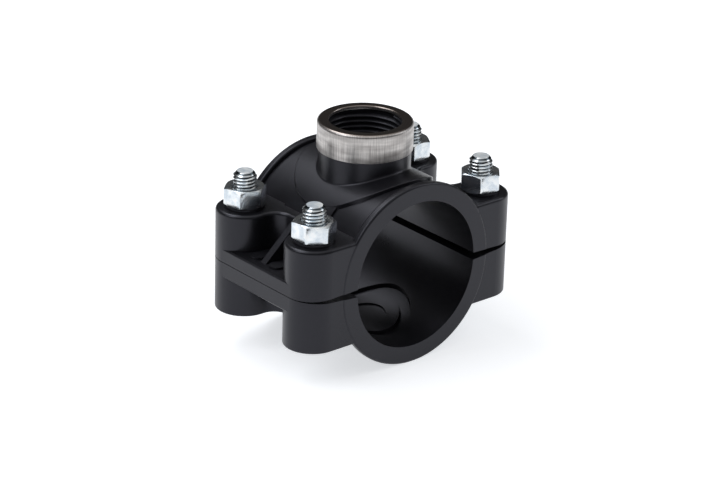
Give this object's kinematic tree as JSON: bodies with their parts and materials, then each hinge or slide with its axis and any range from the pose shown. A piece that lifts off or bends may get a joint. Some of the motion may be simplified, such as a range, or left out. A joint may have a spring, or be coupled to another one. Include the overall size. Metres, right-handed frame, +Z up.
{
  "type": "tapping saddle",
  "caption": "Bolted plastic clamp saddle for a pipe, with a threaded outlet neck held in a pressed steel ring.",
  "frame": {"origin": "on the pipe bore's axis, at the middle of the saddle's length, straight under the outlet", "axes": "+Z up along the outlet, Y along the pipe, X across the bolted wings"},
  "size_m": [0.115, 0.0706, 0.0979],
  "materials": {
    "moulded_plastic": "satin moulded polypropylene",
    "stainless": "pressed and drawn, fine vertical marks",
    "zinc_steel": "bright zinc plate",
    "seal_rubber": "smooth matt rubber"
  },
  "bodies": {
    "base": {"lower_saddle": "moulded_plastic", "bolt_near_left": "zinc_steel", "bolt_far_left": "zinc_steel", "bolt_near_right": "zinc_steel", "bolt_far_right": "zinc_steel"},
    "cap": {"upper_saddle": "moulded_plastic", "steel_ring": "stainless", "seal": "seal_rubber"},
    "nut_near_left": {"nut_near_left": "zinc_steel"},
    "nut_far_left": {"nut_far_left": "zinc_steel"},
    "nut_near_right": {"nut_near_right": "zinc_steel"},
    "nut_far_right": {"nut_far_right": "zinc_steel"}
  },
  "joints": [
    {"name": "cap_lift", "type": "slide", "parent": "base", "child": "cap", "axis": [0, 0, 1], "range_m": [0, 0.006]},
    {"name": "nut_turn_near_left", "type": "hinge", "parent": "cap", "child": "nut_near_left", "pos_m": [-0.0453, -0.0228, 0.0275], "axis": [0, 0, 1], "range_deg": [0, 1440]},
    {"name": "nut_turn_far_left", "type": "hinge", "parent": "cap", "child": "nut_far_left", "pos_m": [-0.0453, 0.0228, 0.0275], "axis": [0, 0, 1], "range_deg": [0, 1440]},
    {"name": "nut_turn_near_right", "type": "hinge", "parent": "cap", "child": "nut_near_right", "pos_m": [0.0453, -0.0228, 0.0275], "axis": [0, 0, 1], "range_deg": [0, 1440]},
    {"name": "nut_turn_far_right", "type": "hinge", "parent": "cap", "child": "nut_far_right", "pos_m": [0.0453, 0.0228, 0.0275], "axis": [0, 0, 1], "range_deg": [0, 1440]}
  ],
  "couplings": [
    {"joint": "cap_lift", "follows": "nut_turn_near_left", "m_per_rad": 0.00023873},
    {"joint": "nut_turn_far_left", "follows": "nut_turn_near_left", "ratio": 1},
    {"joint": "nut_turn_near_right", "follows": "nut_turn_near_left", "ratio": 1},
    {"joint": "nut_turn_far_right", "follows": "nut_turn_near_left", "ratio": 1}
  ]
}
